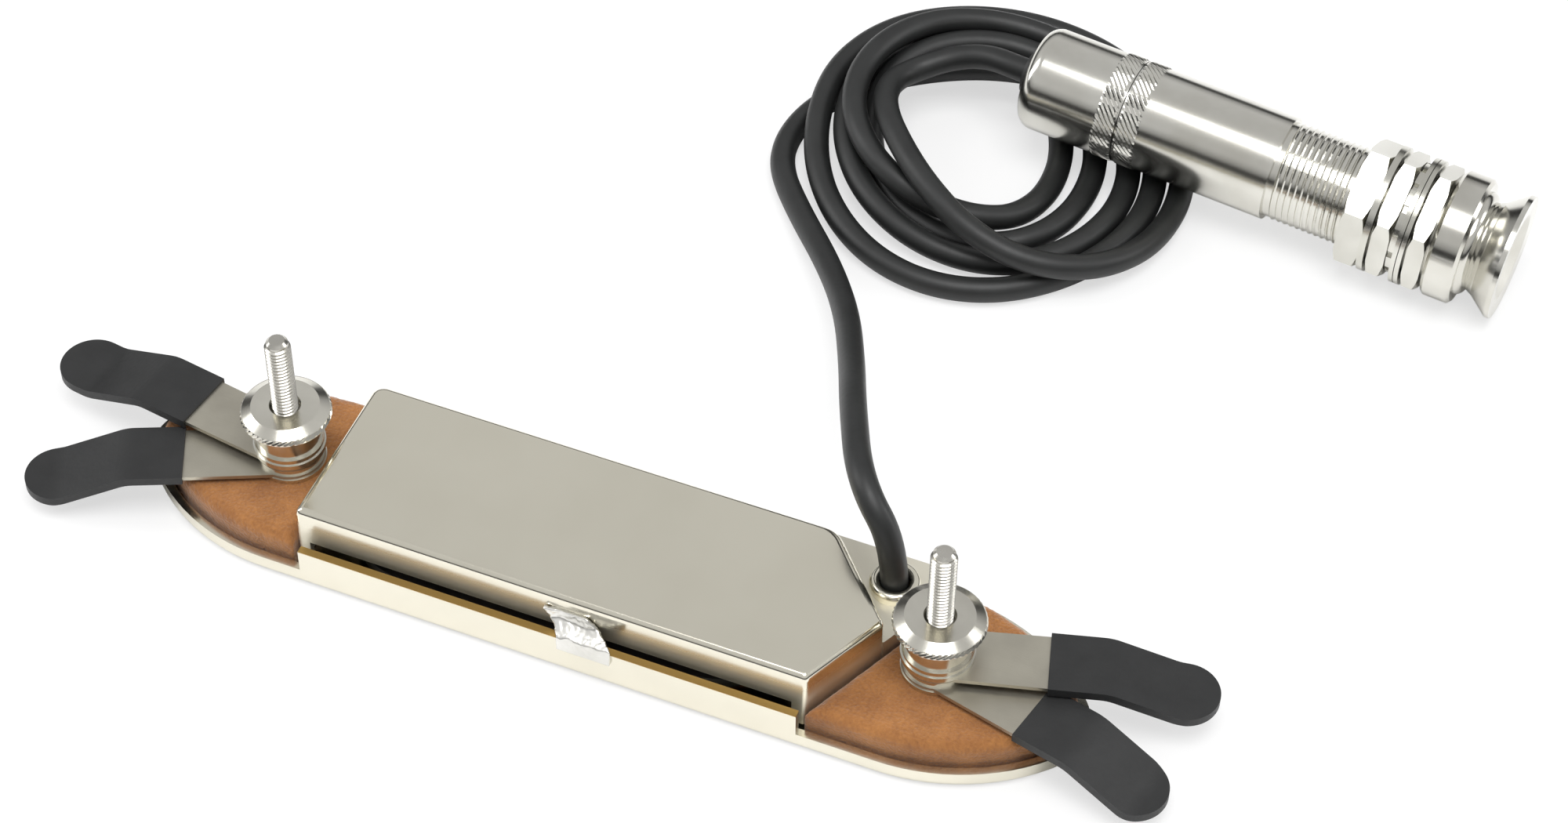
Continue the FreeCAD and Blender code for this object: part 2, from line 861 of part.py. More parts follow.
def leaves():
    half = S.stud_spacing / 2
    rows = [
        ("left_upper", UPPER_LEAF, -half, S.left_upper_heading, S.left_upper_reach),
        ("left_lower", LOWER_LEAF, -half, S.left_lower_heading, S.left_lower_reach),
        ("right_upper", UPPER_LEAF, half, S.right_upper_heading, S.right_upper_reach),
        ("right_lower", LOWER_LEAF, half, S.right_lower_heading, S.right_lower_reach),
    ]
    for name, level, along, heading, reach in rows:
        metal = leaf("leaf_" + name, level, along, heading)
        sleeve("sleeve_" + name, metal, level, along, heading, reach)


# Coil, magnet and board inside the box

BOARD_ALONG = slant_along(S.board_back, -END_WALL) - S.board_gap - S.board_length
FORMER_RIGHT = BOARD_ALONG - S.board_to_former
FORMER_LEFT = -S.cover_left + S.cover_sheet + S.former_end_gap
FORMER_HALF = (FORMER_RIGHT - FORMER_LEFT) / 2
FORMER_SIDE = COVER_HALF - S.cover_sheet - S.former_side_gap
CORE_HALF = FORMER_HALF - FORMER_SIDE + S.former_core_half
BLADE_HALF = CORE_HALF - S.blade_inset
COIL_MIDDLE = (FORMER_RIGHT + FORMER_LEFT) / 2


def long_oval(sketch, half_length, half_width):
    """An outline with straight sides and half-round ends about the coil's middle."""
    run = half_length - half_width
    outline(sketch, [
        (COIL_MIDDLE - run, -half_width),
        (COIL_MIDDLE + run, -half_width, half_width, -1),
        (COIL_MIDDLE + run + half_width, 0, half_width, -1),
        (COIL_MIDDLE + run, half_width),
        (COIL_MIDDLE - run, half_width, half_width, -1),
        (COIL_MIDDLE - run - half_width, 0, half_width, -1),
    ])


def coil_former():
    body = new_body("CoilFormer")
    low = sketch_on(body, "XY_Plane", S.sheet)
    long_oval(low, FORMER_HALF, FORMER_SIDE)
    pad(body, low, S.former_height)
    spool = sketch_on(body, "XY_Plane", S.sheet + S.former_flange)
    long_oval(spool, FORMER_HALF + S.sheet, FORMER_SIDE + S.sheet)
    long_oval(spool, CORE_HALF, S.former_core_half)
    pocket(body, spool, S.former_height - 2 * S.former_flange, upward=True)
    slot = sketch_on(body, "XY_Plane", S.sheet)
    box_outline(slot, COIL_MIDDLE - BLADE_HALF, COIL_MIDDLE + BLADE_HALF,
                -S.blade_half_thick, S.blade_half_thick)
    pocket(body, slot, upward=True)
    return node(body, "coil_former")


def coil_winding():
    body = new_body("CoilWinding")
    low = sketch_on(body, "XY_Plane", S.sheet + S.former_flange)
    long_oval(low, CORE_HALF + S.winding_depth, S.former_core_half + S.winding_depth)
    long_oval(low, CORE_HALF, S.former_core_half)
    pad(body, low, S.former_height - 2 * S.former_flange)
    return node(body, "coil_winding")


def bar(name, size, low):
    """A plain bar centred on the coil's middle: size is half length, half width and height."""
    block = doc.addObject("Part::Box", "Bar")
    half_length, half_width, height = size
    block.setExpression("Length", (2 * half_length).text)
    block.setExpression("Width", (2 * half_width).text)
    block.setExpression("Height", as_size(height).text)
    block.setExpression("Placement.Base.x", (COIL_MIDDLE - half_length).text)
    block.setExpression("Placement.Base.y", (-half_width).text)
    block.setExpression("Placement.Base.z", as_size(low).text)
    doc.recompute()
    return node(block, name)


def magnet_system():
    former_top = S.sheet + S.former_height
    keeper_low = former_top + S.magnet_height
    cover_under = S.cover_top - S.cover_sheet
    bar("steel_blade", (BLADE_HALF, S.blade_half_thick, S.former_height), S.sheet)
    bar("bar_magnet", (FORMER_HALF - FORMER_SIDE, S.magnet_half_width,
                       S.magnet_height), former_top)
    bar("keeper_plate", (FORMER_HALF - S.former_core_half, S.magnet_half_width,
                         cover_under - keeper_low), keeper_low)


def terminal_board():
    block = doc.addObject("Part::Box", "TerminalBoard")
    block.setExpression("Length", S.board_length.text)
    block.setExpression("Width", S.board_width.text)
    block.setExpression("Height", S.board_thick.text)
    block.setExpression("Placement.Base.x", BOARD_ALONG.text)
    block.setExpression("Placement.Base.y", S.board_back.text)
    block.setExpression("Placement.Base.z", S.sheet.text)
    doc.recompute()
    return node(block, "terminal_board")


def cord_collar():
    """A crimped collar on the lead, drawn up against the ledge's underside."""
    under = S.ledge_top - S.cover_sheet
    height = 2 * S.cover_sheet
    bore = S.cord_diameter / 2
    return node(ring("CordCollar", (RING_ALONG, RING_BACK), under - height, height,
                     bore + S.cover_sheet, bore), "cord_collar")


# Jack


def jack_placement():
    turn = FreeCAD.Rotation(V(0, 0, 1), S.jack_turn.number)
    dip = FreeCAD.Rotation(V(0, 1, 0), S.jack_dip.number)
    place = V(S.jack_along.number, S.jack_back.number, S.jack_height.number)
    return FreeCAD.Placement(place, turn.multiply(dip))


JACK = jack_placement()


def jack_turned(name, label, corners, cuts=()):
    """A piece turned about the jack's axis from its half outline."""
    body = new_body(label)
    half = sketch_on(body, "XY_Plane")
    outline(half, corners)
    turned(body, half, "H_Axis")
    for cut in cuts:
        cut(body)
    body.Placement = JACK
    doc.recompute()
    return node(body, name)


def jack_ring(name, start, thick, outer, inner):
    return jack_turned(name, "JackRing", [
        (start, inner),
        (start, outer),
        (start + thick, outer),
        (start + thick, inner),
    ])


def rear_cap():
    inner = S.jack_radius - S.jack_cap_wall
    hole = S.bush_radius - S.jack_cap_wall
    round_end = S.jack_cap_round
    return jack_turned("jack_rear_cap", "RearCap", [
        (0, hole),
        (0, S.jack_radius - round_end, round_end, 1),
        (round_end, S.jack_radius),
        (S.jack_cap_length, S.jack_radius),
        (S.jack_cap_length, inner),
        (S.jack_cap_wall, inner),
        (S.jack_cap_wall, hole),
    ])


def cord_bush():
    """The bush in the cap's end hole that the cord goes through."""
    hole = S.bush_radius - S.jack_cap_wall
    bore = S.cord_diameter / 2
    rim = S.bush_radius
    return jack_turned("cord_bush", "CordBush", [
        (-S.bush_out, bore),
        (-S.bush_out, rim - S.jack_fit),
        (0, rim),
        (0, hole),
        (S.bush_length, hole),
        (S.bush_length, bore),
    ])


def jack_body():
    """The front barrel and the threaded sleeve, bored for the plug and hollow behind it."""
    start = S.jack_cap_length + S.jack_seam
    return jack_turned("jack_body", "JackBody", [
        (start, S.jack_chamber_radius),
        (start, S.jack_radius),
        (S.jack_barrel_end, S.jack_radius),
        (S.jack_barrel_end, S.jack_thread_radius),
        (S.jack_thread_end, S.jack_thread_radius),
        (S.jack_thread_end, S.jack_bore_radius),
        (S.jack_chamber_end, S.jack_bore_radius),
        (S.jack_chamber_end, S.jack_chamber_radius),
    ])


def hex_nut(name, start, thick):
    """A hexagon nut on the sleeve, with its corners turned off on both faces."""
    body = new_body("HexNut")
    corner = S.hex_across / math.sqrt(3)
    half = sketch_on(body, "XY_Plane")
    rise = S.hex_chamfer / 2
    outline(half, [
        (start, S.jack_thread_radius + S.jack_fit),
        (start, corner - S.hex_chamfer),
        (start + rise, corner),
        (start + thick - rise, corner),
        (start + thick, corner - S.hex_chamfer),
        (start + thick, S.jack_thread_radius + S.jack_fit),
    ])
    turned(body, half, "H_Axis")
    flats = sketch_on(body, "YZ_Plane")
    circle(flats, 0, 0, 2 * corner)
    flat = S.hex_across / 2
    outline(flats, [
        (0, corner),
        (-flat, corner / 2),
        (-flat, -corner / 2),
        (0, -corner),
        (flat, -corner / 2),
        (flat, corner / 2),
    ])
    pocket(body, flats, upward=True)
    body.Placement = JACK
    doc.recompute()
    return node(body, name)


def lock_washer():
    """A washer with teeth on its outer edge."""
    body = new_body("LockWasher")
    half = sketch_on(body, "XY_Plane")
    outline(half, [
        (S.lock_start, S.jack_thread_radius + S.jack_fit),
        (S.lock_start, S.lock_radius),
        (S.lock_start + S.lock_thick, S.lock_radius),
        (S.lock_start + S.lock_thick, S.jack_thread_radius + S.jack_fit),
    ])
    turned(body, half, "H_Axis")
    gap = sketch_on(body, "YZ_Plane")
    depth = (S.lock_radius - S.jack_thread_radius) / 2
    box_outline(gap, S.lock_radius - depth, S.lock_radius + depth, -depth, depth)
    notch = pocket(body, gap, upward=True)
    teeth = body.newObject("PartDesign::PolarPattern", "Teeth")
    teeth.Originals = [notch]
    teeth.Axis = (gap, ["N_Axis"])
    teeth.Angle = 360
    teeth.Occurrences = 14
    body.Tip = teeth
    doc.recompute()
    body.Placement = JACK
    doc.recompute()
    return node(body, "lock_washer")


def strap_button():
    """Collar, hollow neck and flared flange, threaded on the sleeve and bored for the plug."""
    collar_end = S.button_start + S.button_collar
    neck_end = S.button_end - S.button_bell
    flare = (neck_end - collar_end) / 2
    easing = S.jack_fit * 8
    return jack_turned("strap_button", "StrapButton", [
        (S.button_start, S.jack_thread_radius + S.jack_fit),
        (S.button_start, S.button_radius - easing),
        (S.button_start + easing, S.button_radius),
        (collar_end - easing, S.button_radius),
        (collar_end, S.button_radius - easing),
        (collar_end, S.button_neck_radius + flare, flare, 1),
        (collar_end + flare, S.button_neck_radius),
        (neck_end, S.button_neck_radius + flare / 2),
        (S.button_end - S.button_flange, S.button_flange_radius),
        (S.button_end - easing, S.button_flange_radius),
        (S.button_end - S.button_flange / 2, S.button_neck_radius),
        (S.button_end - 2 * S.button_flange, S.jack_bore_radius),
        (S.jack_thread_end + S.jack_fit, S.jack_bore_radius),
        (S.jack_thread_end + S.jack_fit, S.jack_thread_radius + S.jack_fit),
    ])


def tip_contact():
    """The bent spring strip that touches the plug's tip, held in the insulator."""
    thick = S.contact_thick.number
    width = S.contact_width.number
    seat = S.jack_chamber_radius.number - S.contact_inset.number
    front = S.jack_chamber_end.number
    line = [
        (S.jack_cap_length.number - S.contact_tail.number, seat),
        (front - S.contact_bend.number, seat),
        (front - S.contact_nose.number, S.contact_nose_radius.number),
        (front - S.contact_end.number, S.contact_end_radius.number),
    ]
    upper = [V(x, y + thick, -width / 2) for x, y in reversed(line)]
    lower = [V(x, y, -width / 2) for x, y in line]
    corners = lower + upper
    strip = Part.Face(Part.makePolygon(corners + corners[:1])).extrude(V(0, 0, width))
    piece = doc.addObject("Part::Feature", "TipContact")
    piece.Shape = strip
    piece.Placement = JACK
    return node(piece, "tip_contact")


def jack():
    cord_bush()
    rear_cap()
    jack_body()
    hex_nut("hex_nut_a", S.nut_a_start, S.nut_a_thick)
    inner = S.jack_thread_radius + S.jack_fit
    jack_ring("flat_washer_a", S.washer_a_start, S.washer_a_thick, S.flat_radius, inner)
    hex_nut("hex_nut_b", S.nut_b_start, S.nut_b_thick)
    lock_washer()
    jack_ring("flat_washer_b", S.flat_start, S.flat_thick, S.flat_radius, inner)
    jack_ring("flat_washer_c", S.flat_start + S.flat_pitch, S.flat_thick, S.flat_radius, inner)
    hex_nut("hex_nut_c", S.nut_c_start, S.nut_c_thick)
    strap_button()
    insulator = S.jack_cap_length + S.jack_seam
    jack_turned("jack_insulator", "JackInsulator", [
        (insulator, 0),
        (insulator, S.jack_chamber_radius),
        (insulator + S.board_thick, S.jack_chamber_radius),
        (insulator + S.board_thick, 0),
    ], [slot_for_contact])
    tip_contact()


def slot_for_contact(body):
    """The slot in the insulator that holds the tip contact."""
    gap = sketch_on(body, "YZ_Plane")
    seat = S.jack_chamber_radius - S.contact_inset
    half = S.contact_width / 2
    box_outline(gap, seat, seat + S.contact_thick, -half, half)
    pocket(body, gap, upward=True)


# Cord

LEAD_ROUTE = [
    (RING_ALONG.number, RING_BACK.number, S.ledge_top.number - 2.4),
    (RING_ALONG.number, RING_BACK.number, 12.8),
    (24.5, 13.9, 18.3),
    (20.4, 22.8, 15.2),
    (15.9, 33.2, 10.6),
    (11.2, 43.9, 6.4),
    (5.2, 53.4, 3.4),
    (-2.0, 62.0, 1.8),
    (-6.6, 68.0, 1.6),
    (-8.2, 73.2, 1.6),
    (-6.8, 78.2, 1.6),
]
TAIL_ROUTE = [
    (1.6, 82.6, 6.9),
    (4.2, 86.1, 7.9),
    (8.0, 88.3, 8.9),
    (12.3, 88.6, 9.8),
    JACK.multVec(V(-2.2, 0, 0)),
    JACK.multVec(V(1.7, 0, 0)),
]


def route_wire(points):
    """Straight runs joined by tangent arcs, each as large as its two runs allow."""
    points = [V(*point) for point in points]
    edges = []
    radii = []
    start = points[0]
    for before, corner, after in zip(points, points[1:], points[2:]):
        come = corner - before
        go = after - corner
        half_turn = come.getAngle(go) / 2
        reach = 0.45 * min(come.Length, go.Length)
        radii.append(reach / math.tan(half_turn))
        entry = corner - V(come).normalize() * reach
        leave = corner + V(go).normalize() * reach
        toward = (entry + leave) * 0.5 - corner
        sagitta = radii[-1] / math.cos(half_turn) - radii[-1]
        crown = corner + V(toward).normalize() * sagitta
        edges.append(Part.LineSegment(start, entry).toShape())
        edges.append(Part.Arc(entry, crown, leave).toShape())
        start = leave
    edges.append(Part.LineSegment(start, points[-1]).toShape())
    return Part.Wire(edges), radii


def cord_tube(name, points):
    wire, radii = route_wire(points)
    radius = S.cord_diameter.number / 2
    aim = V(*points[1]) - V(*points[0])
    section = Part.Wire(Part.makeCircle(radius, V(*points[0]), aim))
    tube = wire.makePipeShell([section], True, False)
    expected = math.pi * radius ** 2 * wire.Length
    if abs(tube.Volume / expected - 1) > 0.01:
        raise ValueError("the tube %s has the wrong volume" % name)
    print(name, "length %.1f" % wire.Length, "radii", ["%.1f" % r for r in radii])
    piece = doc.addObject("Part::Feature", "CordTube")
    piece.Shape = tube
    return node(piece, name)


def oval_face(along, back, half_length, half_width):
    upright = half_width > half_length
    big = max(half_length, half_width)
    small = min(half_length, half_width)
    oval = Part.Ellipse(V(0, 0, 0), big, small)
    wire = Part.Wire(oval.toShape())
    if upright:
        wire.rotate(V(0, 0, 0), V(0, 0, 1), 90)
    wire.translate(V(along, back, 0))
    return Part.Face(wire)


def cord_coil():
    """One solid of the loose coil's outer shape, open in its middle and under the jack."""
    outer = oval_face(S.coil_along.number, S.coil_back.number, S.coil_half_length.number,
                      S.coil_half_width.number)
    hole = oval_face(S.coil_along.number + S.coil_hole_shift.number, S.coil_back.number,
                     S.coil_hole_half_length.number, S.coil_hole_half_width.number)
    block = outer.cut(hole).extrude(V(0, 0, S.coil_height.number))
    rims = [edge for edge in block.Edges if edge.BoundBox.ZLength < 1e-3]
    block = block.makeFillet(S.coil_round.number, rims)
    room = Part.makeCylinder(S.jack_radius.number + S.coil_jack_gap.number,
                             3 * S.coil_half_length.number, V(-S.bush_out.number, 0, 0), V(1, 0, 0))
    room.Placement = JACK.multiply(room.Placement)
    piece = doc.addObject("Part::Feature", "CordCoil")
    piece.Shape = block.cut(room)
    return node(piece, "cord_coil")


# Build

front_shell()
rear_cover()
cord_ring()
ground_tab()
suede_pads()
stud_group("left", -S.stud_spacing / 2)
stud_group("right", S.stud_spacing / 2)
leaves()
coil_former()
coil_winding()
magnet_system()
terminal_board()
cord_collar()
jack()
cord_tube("cord_lead", LEAD_ROUTE)
cord_coil()
cord_tube("cord_tail", TAIL_ROUTE)
doc.recompute()

# Checks and export

for item in doc.Objects:
    if "Invalid" in item.State or "Error" in item.State:
        raise ValueError("%s did not compute: %s" % (item.Label, item.State))

os.makedirs("parts", exist_ok=True)
for piece in nodes:
    shape = piece.Shape
    if shape.isNull() or not shape.isValid():
        raise ValueError("%s has no valid shape" % piece.Label)
    if not shape.Solids:
        raise ValueError("%s has no solid" % piece.Label)
    shape.exportStep("parts/%s.step" % piece.Label)
print(len(nodes), "nodes")
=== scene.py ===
import math

import bmesh
import bpy
from mathutils import Matrix, Vector, noise
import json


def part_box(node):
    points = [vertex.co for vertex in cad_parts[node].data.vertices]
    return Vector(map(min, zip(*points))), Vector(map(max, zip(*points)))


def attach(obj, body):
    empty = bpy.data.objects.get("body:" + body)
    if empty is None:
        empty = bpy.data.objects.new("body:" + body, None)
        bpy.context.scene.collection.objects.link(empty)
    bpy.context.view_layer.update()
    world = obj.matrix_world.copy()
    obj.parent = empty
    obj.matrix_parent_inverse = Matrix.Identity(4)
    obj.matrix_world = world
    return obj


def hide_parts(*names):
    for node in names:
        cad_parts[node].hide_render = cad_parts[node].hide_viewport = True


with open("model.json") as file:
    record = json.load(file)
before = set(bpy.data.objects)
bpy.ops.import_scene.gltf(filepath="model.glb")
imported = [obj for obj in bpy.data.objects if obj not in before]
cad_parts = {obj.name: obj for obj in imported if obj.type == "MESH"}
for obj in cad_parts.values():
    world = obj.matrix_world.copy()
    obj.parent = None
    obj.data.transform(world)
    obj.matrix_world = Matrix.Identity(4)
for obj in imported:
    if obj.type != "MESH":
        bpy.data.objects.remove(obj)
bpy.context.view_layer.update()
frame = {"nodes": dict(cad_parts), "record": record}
MM = 0.001
scene = bpy.context.scene


# Camera


def photo_camera():
    """Looks down on the pickup's back, with the jack and the coil beyond it."""
    tilt = math.radians(48.02)
    yaw = math.radians(-21.33)
    roll = math.radians(1.03)
    place = Vector((111.78, -233.43, 317.11)) * MM
    right = Vector((1, 0, 0))
    up = Vector((0, math.sin(tilt), math.cos(tilt)))
    ahead = Vector((0, math.cos(tilt), -math.sin(tilt)))
    rolled_right = math.cos(roll) * right + math.sin(roll) * up
    rolled_up = math.cos(roll) * up - math.sin(roll) * right
    turn = Matrix.Rotation(-yaw, 3, "Z")
    columns = [turn @ rolled_right, turn @ rolled_up, -(turn @ ahead)]
    facing = Matrix(columns).transposed().to_4x4()
    data = bpy.data.cameras.new("studio_camera")
    data.sensor_fit = "HORIZONTAL"
    data.sensor_width = 36
    data.lens = 84.28
    data.clip_start = 0.01
    data.clip_end = 20
    camera = bpy.data.objects.new("studio_camera", data)
    camera.matrix_world = Matrix.Translation(place) @ facing
    scene.collection.objects.link(camera)
    scene.camera = camera


photo_camera()


# Shader maths


class Value:
    """One socket of a node tree, with the operators that its maths needs."""

    def __init__(self, nodes, socket):
        self.nodes = nodes
        self.socket = socket

    def joined(self, operation, first, second):
        return self.nodes.add("ShaderNodeMath", {"operation": operation}, {0: first, 1: second})

    def __add__(self, other):
        return self.joined("ADD", self, other)

    __radd__ = __add__

    def __sub__(self, other):
        return self.joined("SUBTRACT", self, other)

    def __rsub__(self, other):
        return self.joined("SUBTRACT", other, self)

    def __mul__(self, other):
        return self.joined("MULTIPLY", self, other)

    __rmul__ = __mul__


class Nodes:
    """A node tree under construction."""

    def __init__(self, tree):
        self.tree = tree

    def add(self, kind, settings, inputs, output=0):
        made = self.tree.nodes.new(kind)
        for name, value in settings.items():
            setattr(made, name, value)
        for name, value in inputs.items():
            self.feed(made.inputs[name], value)
        return Value(self, made.outputs[output])

    def feed(self, socket, value):
        if isinstance(value, Value):
            self.tree.links.new(value.socket, socket)
        else:
            socket.default_value = value


class Finish(Nodes):
    """A material under construction."""

    def __init__(self, name):
        self.material = bpy.data.materials.new(name)
        self.material.use_nodes = True
        super().__init__(self.material.node_tree)
        self.shader = self.tree.nodes["Principled BSDF"]

    def place(self):
        return self.add("ShaderNodeTexCoord", {}, {}, "Object")

    def height(self):
        return self.add("ShaderNodeSeparateXYZ", {}, {"Vector": self.place()}, "Z")

    def grain(self, size, detail=4.0, stretch=(1, 1, 1)):
        """Noise whose features are about size metres across."""
        spread = self.add("ShaderNodeMapping", {}, {"Vector": self.place(), "Scale": stretch})
        inputs = {"Vector": spread, "Scale": 1 / size, "Detail": detail}
        return self.add("ShaderNodeTexNoise", {}, inputs, "Fac")

    def blend(self, share, first, second):
        """Goes from one colour to another. Each is a Value or three numbers."""
        ends = [end if isinstance(end, Value) else (*end, 1) for end in (first, second)]
        inputs = {0: share, 6: ends[0], 7: ends[1]}
        return self.add("ShaderNodeMix", {"data_type": "RGBA"}, inputs, 2)

    def band(self, value, low, high):
        """Rises from 0 at low to 1 at high."""
        inputs = {"Value": value, "From Min": low, "From Max": high}
        return self.add("ShaderNodeMapRange", {}, inputs)

    def bump(self, height, distance):
        inputs = {"Height": height, "Distance": distance, "Strength": 1.0}
        return self.add("ShaderNodeBump", {}, inputs)

    def set(self, **values):
        for name, value in values.items():
            self.feed(self.shader.inputs[name.replace("_", " ")], value)
        return self.material


def plated(name, light, dark, rough, haze=0.08, ripple=0.000004):
    """Nickel plate with faint clouding, handling haze and a slight ripple."""
    finish = Finish(name)
    cloud = finish.grain(0.009)
    fine = finish.grain(0.0006, 6.0)
    return finish.set(
        Base_Color=finish.blend(finish.band(cloud, 0.35, 0.68), light, dark),
        Metallic=1.0,
        Roughness=rough + haze * cloud,
        Normal=finish.bump(cloud * 2.0 + fine * 0.05, ripple),
    )


def shell_plate(name):
    """Nickel plate whose top cut edge shows a thin line of the brass beneath it."""
    finish = Finish(name)
    cloud = finish.grain(0.009)
    cut = finish.band(finish.height(), *BRASS_LINE)
    plate = finish.blend(finish.band(cloud, 0.35, 0.68), NICKEL, NICKEL_SHADE)
    return finish.set(
        Base_Color=finish.blend(cut, plate, BRASS),
        Metallic=1.0,
        Roughness=0.14 + 0.08 * cloud + 0.14 * cut,
    )


def cover_plate(name):
    """Nickel plate, even on top and duller low on the walls, where no polishing wheel reaches."""
    finish = Finish(name)
    cloud = finish.grain(0.012)
    reached = finish.band(finish.height(), *POLISHED)
    return finish.set(
        Base_Color=finish.blend(finish.band(cloud, 0.35, 0.68), NICKEL, NICKEL_SHADE),
        Metallic=1.0,
        Roughness=0.13 + 0.05 * cloud + 0.34 * (1 - reached),
        Normal=finish.bump(cloud, 0.000003),
    )


def brushed(name, light, dark, rough, stretch):
    """Rolled, turned or drawn metal, with fine lines along it."""
    finish = Finish(name)
    lines = finish.grain(0.0012, 5.0, stretch)
    cloud = finish.grain(0.006)
    return finish.set(
        Base_Color=finish.blend(finish.band(cloud, 0.3, 0.7), light, dark),
        Metallic=1.0,
        Roughness=rough + 0.12 * lines,
        Normal=finish.bump(lines, 0.000008),
    )


def satin(name, light, dark, rough, grit=0.0004, depth=0.00001):
    """Moulded, shrunk or extruded plastic and rubber, and the sintered magnet."""
    finish = Finish(name)
    cloud = finish.grain(0.004)
    fine = finish.grain(grit, 5.0)
    return finish.set(
        Base_Color=finish.blend(finish.band(cloud, 0.35, 0.7), light, dark),
        Roughness=rough + 0.1 * fine,
        Normal=finish.bump(fine, depth),
    )


def napped_suede(name):
    """Brown suede, with a short nap that lies lighter and darker in patches."""
    finish = Finish(name)
    patch = finish.grain(0.0032, 5.0)
    nap = finish.grain(0.00035, 8.0)
    tone = finish.band(patch * 0.55 + nap * 0.45, 0.36, 0.64)
    material = finish.set(
        Base_Color=finish.blend(tone, (0.25, 0.095, 0.024), (0.4, 0.168, 0.045)),
        Roughness=0.95,
        Normal=finish.bump(nap + patch * 0.5, 0.00022),
    )
    finish.shader.inputs["Sheen Weight"].default_value = 0.35
    finish.shader.inputs["Sheen Roughness"].default_value = 0.5
    return material


def laminate(name):
    """Circuit board, with its weave faintly seen."""
    finish = Finish(name)
    weave = finish.grain(0.0008, 3.0, (1, 6, 1))
    colour = finish.blend(weave, (0.42, 0.33, 0.18), (0.6, 0.5, 0.32))
    return finish.set(Base_Color=colour, Roughness=0.6, Normal=finish.bump(weave, 0.00001))


NICKEL = (0.79, 0.755, 0.645)
NICKEL_SHADE = (0.755, 0.72, 0.61)
BRASS = (0.42, 0.27, 0.09)
# Heights in metres
BRASS_LINE = (0.00548, 0.00554)
POLISHED = (0.0062, 0.0086)

finishes = {
    "shell_nickel": shell_plate("shell_nickel"),
    "cover_nickel": cover_plate("cover_nickel"),
    "ring_nickel": plated("ring_nickel", NICKEL, NICKEL_SHADE, 0.12),
    "jack_nickel": plated("jack_nickel", (0.7, 0.69, 0.64), (0.58, 0.565, 0.51), 0.14),
    "nut_nickel": plated("nut_nickel", (0.7, 0.69, 0.64), (0.56, 0.55, 0.5), 0.18),
    "washer_nickel": plated("washer_nickel", (0.69, 0.68, 0.63), (0.56, 0.55, 0.49), 0.17),
    "button_nickel": plated("button_nickel", (0.7, 0.69, 0.64), (0.58, 0.565, 0.51), 0.12),
    "thumb_nickel": plated("thumb_nickel", (0.7, 0.68, 0.61), (0.56, 0.54, 0.48), 0.15),
    "stud_steel": brushed("stud_steel", (0.62, 0.6, 0.55), (0.45, 0.44, 0.4), 0.2, (1, 1, 4)),
    "spring_steel": brushed(
        "spring_steel", (0.5, 0.475, 0.4), (0.41, 0.385, 0.325), 0.36, (1, 7, 1)
    ),
    "blade_steel": brushed("blade_steel", (0.56, 0.56, 0.56), (0.42, 0.42, 0.42), 0.32, (6, 1, 1)),
    "crimp_brass": brushed("crimp_brass", (0.75, 0.6, 0.32), (0.6, 0.46, 0.22), 0.28, (1, 1, 5)),
    "contact_brass": brushed(
        "contact_brass", (0.75, 0.6, 0.32), (0.6, 0.46, 0.22), 0.26, (6, 1, 1)
    ),
    "enamelled_wire": brushed(
        "enamelled_wire", (0.6, 0.24, 0.1), (0.42, 0.15, 0.06), 0.3, (9, 1, 9)
    ),
    "solder": plated("solder", (0.82, 0.81, 0.78), (0.66, 0.65, 0.61), 0.2, 0.2, 0.00003),
    "magnet": satin("magnet", (0.3, 0.3, 0.31), (0.22, 0.22, 0.23), 0.5),
    "former": satin("former", (0.04, 0.04, 0.04), (0.025, 0.025, 0.025), 0.5),
    "bush": satin("bush", (0.03, 0.03, 0.03), (0.018, 0.018, 0.018), 0.4),
    "cord": satin("cord", (0.014, 0.0148, 0.0146), (0.009, 0.0095, 0.0094), 0.42, 0.0006, 0.000008),
    "heat_shrink": satin(
        "heat_shrink", (0.014, 0.0143, 0.0146), (0.009, 0.0093, 0.0096), 0.46, 0.0005, 0.00002
    ),
    "suede": napped_suede("suede"),
    "board": laminate("board"),
}
slot_of = {row["node"]: row["material_slot"] for row in frame["record"]["subparts"]}


def dress(thing, finish):
    thing.data.materials.clear()
    thing.data.materials.append(finish)


for node_name, node_object in frame["nodes"].items():
    dress(node_object, finishes[slot_of[node_name]])


# Cord: the lead, five loose turns and the tail into the jack, as one length

